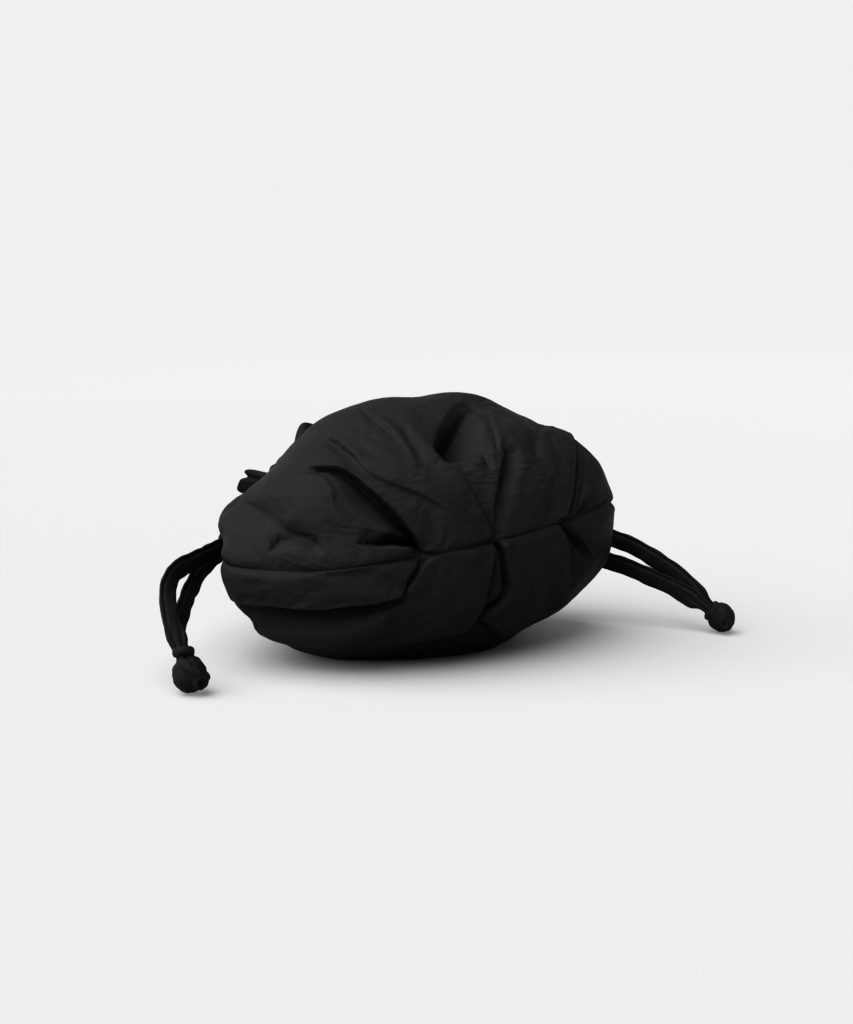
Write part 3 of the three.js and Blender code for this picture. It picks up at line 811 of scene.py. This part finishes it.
def beside_path(points, path):
    last = len(path) - 2
    best = Beside(np.full(len(points), np.inf), *np.zeros((3, len(points))), np.zeros((len(points), 3)))
    for i in range(last + 1):
        along = path[i + 1] - path[i]
        length = np.linalg.norm(along)
        along = along / length
        way = (points - path[i]) @ along
        foot = path[i] + np.clip(way, 0, length)[:, None] * along
        apart = points - foot
        nearest = np.linalg.norm(apart, axis=1)
        closer = nearest < best.nearest
        right = np.cross(along, outward(foot))
        past = np.zeros(len(points))
        if i == 0:
            past += np.maximum(-way, 0)
        if i == last:
            past += np.maximum(way - length, 0)
        best.nearest[closer] = nearest[closer]
        best.share[closer] = ((i + np.clip(way / length, 0, 1)) / (last + 1))[closer]
        best.lateral[closer] = np.einsum("ij,ij->i", apart, right)[closer]
        best.past[closer] = past[closer]
        best.right[closer] = right[closer]
    return best


def line_strength(beside, reach, fade):
    """How strongly a line of a reach acts: less towards its far end, past its ends and far from it."""
    near = 1 - smoothstep(beside.nearest, reach, 2 * reach)
    faded = 1 - (1 - fade) * smoothstep(beside.share, FADE_START, 1)
    return near * faded * np.clip(1 - beside.past / FOLD_END, 0, 1) ** 2


def path_on_ovoid(places):
    return smooth_path([on_ovoid(place) for place in places], PATH_STEPS)


def fold_shift(points, path, fold):
    """The height of a fold's cloth at points, and how far it leans over the valley."""
    beside = beside_path(points, path)
    strength = line_strength(beside, max(fold.valley + fold.edge, fold.roll), fold.fade)
    open_share = fold.pinch + (1 - fold.pinch) * smoothstep(beside.share, 0, PINCH_END)
    open_share *= 1 - (1 - fold.tip) * smoothstep(beside.share, TIP_START, 1)
    from_crest = beside.lateral * fold.side - fold.lean
    down = 0.5 + 0.5 * np.cos(math.pi * np.clip(from_crest / (fold.roll * open_share), 0, 1))
    wall = smoothstep(from_crest, -fold.edge, 0)
    back = np.clip(1 + (from_crest + fold.edge) / (fold.valley * open_share), 0, 1) ** VALLEY_CURVE
    below = np.where(from_crest > -fold.edge, (fold.depth + fold.lip) * wall - fold.depth, -fold.depth * back)
    height = np.where(from_crest > 0, fold.lip * down, below)
    lean = -fold.lean * fold.side * np.where(from_crest > 0, down, wall) * strength
    return height * strength, lean[:, None] * beside.right


def wave_height(points, path, wave):
    beside = beside_path(points, path)
    strength = line_strength(beside, 2 * wave.width, wave.fade)
    return wave.height * np.exp(-((beside.lateral / wave.width) ** 2)) * strength


def gather_height(u, v):
    """Pleats that run into the neck, sharp in their valleys and not quite evenly spaced."""
    wobble = sines(u, PLEAT_WOBBLE)
    start = sines(u, GATHER_START_WAVES, GATHER_START)
    gathered = smoothstep(v, start, GATHER_FULL) * (1 - smoothstep(v, GATHER_FULL, GATHER_END))
    ridge = np.abs(np.sin(GATHERS * u / 2 + wobble)) ** GATHER_CURVE - PLEAT_LEVEL
    fine = np.abs(np.sin(FINE_GATHERS * GATHERS * u / 2 + 2 * wobble)) - PLEAT_LEVEL
    return GATHER_DEPTH * gathered * (ridge + FINE_GATHER_SHARE * fine)


def add_spots(height, points, spots):
    """Adds the heights of round spots to a height at points."""
    for spot in spots:
        apart = np.linalg.norm(points - on_ovoid(spot.at), axis=1)
        height += spot.height * np.exp(-((apart / spot.radius) ** 2))


def crinkle_height(points):
    amount = np.zeros(len(points))
    add_spots(amount, points, CRINKLES)
    creases = np.abs(waver(points / (CRINKLE_LENGTH, CRINKLE_WIDTH * 2, CRINKLE_WIDTH), 1.0))
    return amount * (creases - CRINKLE_BASE)


def lay_down(points):
    """Moves points from the body's own frame to where the bag lies, rolled about the mouth's axis."""
    return np.stack([
        points[:, 0] * math.cos(ROLL) - points[:, 2] * math.sin(ROLL),
        points[:, 1],
        points[:, 0] * math.sin(ROLL) + points[:, 2] * math.cos(ROLL),
    ], axis=1) + BODY_MIDDLE


def cloth_points(panel, u, v):
    """Points of a panel's cloth in mm, where the bag lies, and how firmly each is held, from 0 to 1."""
    plain = ovoid_points(u, v)
    drawn_in = np.zeros(len(plain))
    rolled_up = np.zeros(len(plain))
    leaning = np.zeros((len(plain), 3))
    for fold in FOLDS:
        if fold.panel == panel:
            path = path_on_ovoid(fold.at)
            near = near_path(plain, path, 2 * max(fold.valley + fold.edge, fold.roll))
            height, lean = fold_shift(plain[near], path, fold)
            drawn_in[near] = np.minimum(drawn_in[near], height)
            rolled_up[near] = np.maximum(rolled_up[near], height)
            leaning[near] += lean
    height = drawn_in + rolled_up
    in_folds = smoothstep(-drawn_in, HOLD_FROM, HOLD_FULL)
    held = np.maximum(in_folds, smoothstep(v, GATHER_HOLD_FROM, GATHER_HOLD_FULL))
    for wave in WAVES:
        if wave.panel == panel:
            path = path_on_ovoid(wave.at)
            near = near_path(plain, path, 4 * wave.width)
            height[near] += wave_height(plain[near], path, wave)
    opening = np.where(v <= 1, np.sin(np.clip(v, 0, 1) * math.pi / 2), ring_share(np.maximum(v, 1)))
    off_seam = HALF_HEIGHT * opening * np.abs(np.sin(u))
    free = smoothstep(off_seam, 0, SEAM_HOLD)
    height *= free
    leaning *= free[:, None]
    add_spots(height, plain, SWELLINGS)
    height -= SEAM_GROOVE * np.clip(1 - off_seam / SEAM_BAND, 0, 1) ** 2
    height += sum(tall * waver(plain, size) for tall, size in UNEVENNESS) * free
    height += crinkle_height(plain) * free
    height += gather_height(u, v)
    height -= SETTLE_ROOM * (1 - held) * smoothstep(off_seam, 0, SETTLE_ROOM_FROM_SEAM)
    points = plain + np.clip(height, DEEPEST, HIGHEST)[:, None] * outward(plain) + leaning
    lying = lay_down(points)
    lying[:, 2] = np.maximum(lying[:, 2], 0)
    return lying, held


def panel_points(panel, across, along):
    """A panel's points and hold at shares of the way round the mouth's axis and from the seam to the neck."""
    front_share = FRONT_ROWS / (FRONT_ROWS + BACK_ROWS)
    v = np.where(along <= front_share, along / front_share, 1 + (along - front_share) / (1 - front_share))
    return cloth_points(panel, math.pi * (across + (panel == LOWER)), v)


def away_from_middle(face):
    return face.calc_center_median() - Vector(BODY_MIDDLE) * MM


def swell(cloth, held):
    """Where the corners of slack cloth come to rest when a filling pushes it outwards, in metres."""
    mesh = bpy.data.meshes.new("settling")
    cloth.to_mesh(mesh)
    cloth.free()
    sheet = put_in_scene("settling", mesh)
    hold = sheet.vertex_groups.new(name="hold")
    for index, amount in enumerate(held):
        hold.add([index], float(amount), "REPLACE")
    settle = sheet.modifiers.new("settle", "CLOTH")
    settle.settings.vertex_group_mass = hold.name
    settle.settings.use_pressure = True
    settle.settings.uniform_pressure_force = SETTLE_PUSH
    settle.settings.shrink_min = -SETTLE_SLACK
    settle.settings.bending_stiffness = SETTLE_BENDING
    settle.settings.effector_weights.gravity = 0
    settle.collision_settings.use_collision = False
    for step in range(1, SETTLE_FRAMES + 1):
        bpy.context.scene.frame_set(step)
    settled = sheet.evaluated_get(bpy.context.evaluated_depsgraph_get())
    spots = np.array([vert.co for vert in settled.data.vertices])
    bpy.data.objects.remove(sheet)
    bpy.data.meshes.remove(mesh)
    bpy.context.scene.frame_set(1)
    return spots


def settled_field(panel):
    """How far the filling moves a panel's cloth, in metres, as rows and columns of a coarse grid."""
    columns = PANEL_COLUMNS // SETTLE_COARSER
    rows = (FRONT_ROWS + BACK_ROWS) // SETTLE_COARSER
    cloth, across, along = flat_grid(columns, rows)
    points, held = panel_points(panel, across, along)
    move_corners(cloth, points * MM)
    turn_outwards(cloth, away_from_middle)
    held[[vert.index for vert in cloth.verts if vert.is_boundary]] = 1
    shift = swell(cloth, held) - points * MM
    moved = np.maximum(np.linalg.norm(shift, axis=1), 1e-9)
    limit = SETTLE_LIMIT * MM
    field = np.zeros((rows + 1, columns + 1, 3))
    place = np.rint(along * rows).astype(int), np.rint(across * columns).astype(int)
    field[place] = shift * (limit * np.tanh(moved / limit) / moved)[:, None]
    return field


def field_at(field, across, along):
    """A coarse grid's shift at shares of the way across and along it, blended between its corners."""
    rows, columns = np.array(field.shape[:2]) - 1
    column = np.clip(np.floor(across * columns).astype(int), 0, columns - 1)
    row = np.clip(np.floor(along * rows).astype(int), 0, rows - 1)
    right = (across * columns - column)[:, None]
    up = (along * rows - row)[:, None]
    here = field[row, column] * (1 - right) + field[row, column + 1] * right
    above = field[row + 1, column] * (1 - right) + field[row + 1, column + 1] * right
    return here * (1 - up) + above * up


def body_panel(name, node, panel):
    """One half of the body, from the seam to the neck."""
    field = settled_field(panel)

    def place(across, along):
        spots = panel_points(panel, across, along)[0] * MM
        if field is not None:
            spots += field_at(field, across, along)
        spots[:, 2] = np.maximum(spots[:, 2], 0)
        return spots

    cloth = grid_of_cloth(PANEL_COLUMNS, FRONT_ROWS + BACK_ROWS, place)
    inner = [vert for vert in cloth.verts if not vert.is_boundary]
    for _ in range(PANEL_SMOOTHINGS):
        bmesh.ops.smooth_vert(
            cloth, verts=inner, factor=0.5, use_axis_x=True, use_axis_y=True, use_axis_z=True,
        )
    turn_outwards(cloth, away_from_middle)
    return finish_piece(cloth, name, node, BODY_NYLON)


upper_cloth = body_panel("upper_cloth", "upper_panel", UPPER)
lower_cloth = body_panel("lower_cloth", "lower_panel", LOWER)


# Channel and ruffle beyond the neck
RING_COLUMNS = 420
PIECE_GAP = 0.4
CHANNEL_START = HALF_DEPTH + NECK_CONE + PIECE_GAP
CHANNEL_WIDTH = 12.5
CHANNEL_BULGE = 2.6
CHANNEL_WALL = 1.6
CHANNEL_ROWS = 20
CHANNEL_PLEAT = 2.2
CHANNEL_PLEAT_CURVE = 0.7
FINE_PLEATS = 43
FINE_PLEAT_SHARE = 0.35
FINE_PLEAT_WOBBLE = [(3, 2, 0)]

# Stitched lines of the channel: their depth in mm, and their places and width as shares of its own width
CHANNEL_STITCH = 0.9
CHANNEL_STITCH_AT = (0.12, 0.88)
CHANNEL_STITCH_WIDTH = 0.05

RUFFLE_START = CHANNEL_START + CHANNEL_WIDTH + PIECE_GAP
RUFFLE_FLARE = 5.0
RUFFLE_RISE = 12.0
RUFFLE_CURL = 1.3
RUFFLE_WALL = 0.9
RUFFLE_ROWS = 30
RUFFLE_FRILLS = 13
FRILL_WOBBLE = [(1.1, 3, 1), (0.8, 5, 2)]
FRILL_WAVES = [(0.4, 11, 0.5)]
RUFFLE_SWAY = 2.0
RUFFLE_SWELL = 0.5

# Tuck: how deep the ruffle's root goes into the channel, how far inside its wall, and over which shares
RUFFLE_TUCK = 2.5
RUFFLE_TUCK_IN = 2.8
TUCK_SHARE = 0.1
TUCK_OUT = 0.25


class Lobe(NamedTuple):
    """A place where the ruffle reaches further out: angle round the mouth and spread in degrees, reach in mm.

    A reach below 0 draws it in. A higher squareness makes a flap with steeper sides.
    """
    name: str
    at: float
    spread: float
    reach: float
    squareness: float = 2


LOBES = [
    Lobe("top tip", at=74, spread=17, reach=18.5, squareness=6),
    Lobe("stretch between the tips", at=118, spread=27, reach=-1.5, squareness=6),
    Lobe("left tip", at=163, spread=14, reach=18.5, squareness=6),
    Lobe("notch in the left tip", at=159, spread=2.2, reach=-4.5),
    Lobe("low left lobe", at=202, spread=17, reach=12),
    Lobe("lower left lobe", at=243, spread=22, reach=15),
    Lobe("lower right lobe", at=292, spread=20, reach=14),
    Lobe("right lobe", at=335, spread=20, reach=13),
    Lobe("upper right lobe", at=20, spread=22, reach=14),
]


def round_neck(u, radius, y):
    """Points round the neck, at a radius and a place along the mouth's axis, in metres where the bag lies."""
    points = np.stack([NECK_X + radius * np.cos(u), y, NECK_Z + radius * np.sin(u)], axis=1)
    return lay_down(points) * MM


def neck_piece(name, node, rows, wall, place):
    """A ring of cloth round the neck."""
    ring = grid_of_cloth(RING_COLUMNS, rows, place)
    close_ring(ring)
    middle = Vector(round_neck(np.zeros(1), 0, np.array([RUFFLE_START + RUFFLE_RISE]))[0])
    turn_outwards(ring, lambda face: face.calc_center_median() - middle)
    piece = finish_piece(ring, name, node, BODY_NYLON)
    give_wall(piece, wall)
    return piece


def channel_place(across, along):
    """The channel: a pleated ring that bulges between two stitched lines."""
    u = 2 * math.pi * across
    pleat = np.abs(np.sin(GATHERS * u / 2 + sines(u, PLEAT_WOBBLE))) ** CHANNEL_PLEAT_CURVE - PLEAT_LEVEL
    pleat += FINE_PLEAT_SHARE * np.sin(FINE_PLEATS * u + sines(u, FINE_PLEAT_WOBBLE))
    stitched = sum(np.exp(-(((along - at) / CHANNEL_STITCH_WIDTH) ** 2)) for at in CHANNEL_STITCH_AT)
    radius = NECK_RADIUS + CHANNEL_BULGE * np.sin(math.pi * along) - CHANNEL_STITCH * stitched
    radius += CHANNEL_PLEAT * pleat * (0.5 + 0.5 * np.sin(math.pi * along))
    return round_neck(u, radius, CHANNEL_START + CHANNEL_WIDTH * along)


def ruffle_place(across, along):
    """The ruffle: it flares out into lobes, in frills that grow to its free edge."""
    u = 2 * math.pi * across
    flare = np.full(len(u), RUFFLE_FLARE)
    for lobe in LOBES:
        apart = (np.degrees(u) - lobe.at + 180) % 360 - 180
        flare += lobe.reach * np.exp(-np.abs(apart / lobe.spread) ** lobe.squareness)
    wobble = sines(u, FRILL_WOBBLE)
    frill = sines(u, FRILL_WAVES, np.sin(RUFFLE_FRILLS * u + wobble))
    radius = NECK_RADIUS + flare * along + RUFFLE_SWELL * along * np.cos(RUFFLE_FRILLS * u + wobble)
    radius -= RUFFLE_TUCK_IN * (1 - smoothstep(along, TUCK_SHARE, TUCK_OUT))
    rise = RUFFLE_RISE * along ** RUFFLE_CURL + RUFFLE_SWAY * along * frill
    rise -= RUFFLE_TUCK * np.clip(1 - along / TUCK_SHARE, 0, 1)
    return round_neck(u, radius, RUFFLE_START + rise)


channel_cloth = neck_piece("channel_cloth", "mouth_channel", CHANNEL_ROWS, CHANNEL_WALL, channel_place)
ruffle_cloth = neck_piece("ruffle_cloth", "mouth_ruffle", RUFFLE_ROWS, RUFFLE_WALL, ruffle_place)


# Studio: a pale floor that slopes up all round like a shallow bowl, and soft light from the upper left
FLOOR_RADIUS = 1.8
FLOOR_CURVE = 2.0
FLOOR_SLOPE = math.radians(36)
FLOOR_RUN = 2.6
FLOOR_CURVE_STEPS = 12
FLOOR_SIDES = 96

# The floor's paleness and glow at distances from the middle of the bag, in metres: plain paper where the bag
# touches it, a little glow beside it that makes the shadow pale, and only glow far off, for an even backdrop
FLOOR_STOPS = [(0.06, 0.396, 0.0), (0.15, 0.2955, 0.155), (1.5, 0.2955, 0.155), (2.3, 0.0, 0.61)]
FLOOR_STOPS_REACH = 2.5
PAPER_ROUGHNESS = 0.9
PAPER_SPECULAR = 0.1


def studio_paper():
    """Pale paper at the bag, with a painted glow round it that lightens the bag's shadow, and an evenly
    glowing backdrop far from it.
    """
    material = bpy.data.materials.new("studio paper")
    material.use_nodes = True
    tree = material.node_tree
    shader = tree.nodes["Principled BSDF"]
    set_up(shader, Roughness=PAPER_ROUGHNESS, Specular_IOR_Level=PAPER_SPECULAR, Emission_Strength=1.0)
    place = add_node(tree, "ShaderNodeTexCoord", (-900, 0))
    distance = add_node(tree, "ShaderNodeVectorMath", (-700, 0), operation="LENGTH")
    share = add_node(tree, "ShaderNodeMath", (-500, 0), operation="DIVIDE")
    share.inputs[1].default_value = FLOOR_STOPS_REACH
    tree.links.new(place.outputs["Object"], distance.inputs[0])
    tree.links.new(distance.outputs["Value"], share.inputs[0])
    # Emission Color carries the painted glow that lightens the bag's shadow near it, and the even glow of the
    # backdrop far off
    for name, column in (("Base Color", 1), ("Emission Color", 2)):
        ramp = add_node(tree, "ShaderNodeValToRGB", (-300, -300 * column))
        stops = ramp.color_ramp.elements
        while len(stops) < len(FLOOR_STOPS):
            stops.new(1.0)
        for stop, row in zip(stops, FLOOR_STOPS):
            stop.position = row[0] / FLOOR_STOPS_REACH
            stop.color = (row[column], row[column], row[column], 1)
        tree.links.new(share.outputs["Value"], ramp.inputs["Fac"])
        tree.links.new(ramp.outputs["Color"], shader.inputs[name])
    return material


def studio_floor():
    """A round floor whose rim curves up into a slope, spun from its profile."""
    floor = bmesh.new()
    profile = [(0.0, 0.0), (FLOOR_RADIUS, 0.0)]
    for step in range(1, FLOOR_CURVE_STEPS + 1):
        turn = FLOOR_SLOPE * step / FLOOR_CURVE_STEPS
        profile.append((FLOOR_RADIUS + FLOOR_CURVE * math.sin(turn), FLOOR_CURVE * (1 - math.cos(turn))))
    outer, top = profile[-1]
    profile.append((outer + FLOOR_RUN * math.cos(FLOOR_SLOPE), top + FLOOR_RUN * math.sin(FLOOR_SLOPE)))
    corners = [floor.verts.new((x, 0, z)) for x, z in profile]
    edges = [floor.edges.new(pair) for pair in zip(corners, corners[1:])]
    bmesh.ops.spin(
        floor, geom=[*corners, *edges], axis=(0, 0, 1), cent=(0, 0, 0), angle=2 * math.pi, steps=FLOOR_SIDES,
        use_merge=True,
    )
    bmesh.ops.remove_doubles(floor, verts=floor.verts, dist=1e-5)
    bmesh.ops.recalc_face_normals(floor, faces=floor.faces)
    stage = mesh_object(floor, "studio_floor", studio_paper())


# Key light: a wide soft sun, so that the whole floor is equally bright
KEY_FROM = Vector((-0.56, 0.0, 0.83))
KEY_DISTANCE = 3
KEY_STRENGTH = 5.6
KEY_SPREAD = math.radians(85)
WORLD_STRENGTH = 0.03


def light_studio():
    lamp = bpy.data.lights.new("key light", "SUN")
    lamp.energy = KEY_STRENGTH
    lamp.angle = KEY_SPREAD
    light = put_in_scene("key light", lamp)
    light.location = KEY_FROM * KEY_DISTANCE
    light.rotation_mode = "QUATERNION"
    light.rotation_quaternion = KEY_FROM.to_track_quat("Z", "Y")
    world = bpy.data.worlds.new("studio")
    world.use_nodes = True
    set_up(world.node_tree.nodes["Background"], Color=(1, 1, 1, 1), Strength=WORLD_STRENGTH)
    bpy.context.scene.world = world
    bpy.context.scene.view_settings.view_transform = "Standard"
    bpy.context.scene.view_settings.look = "High Contrast"


studio_floor()
light_studio()
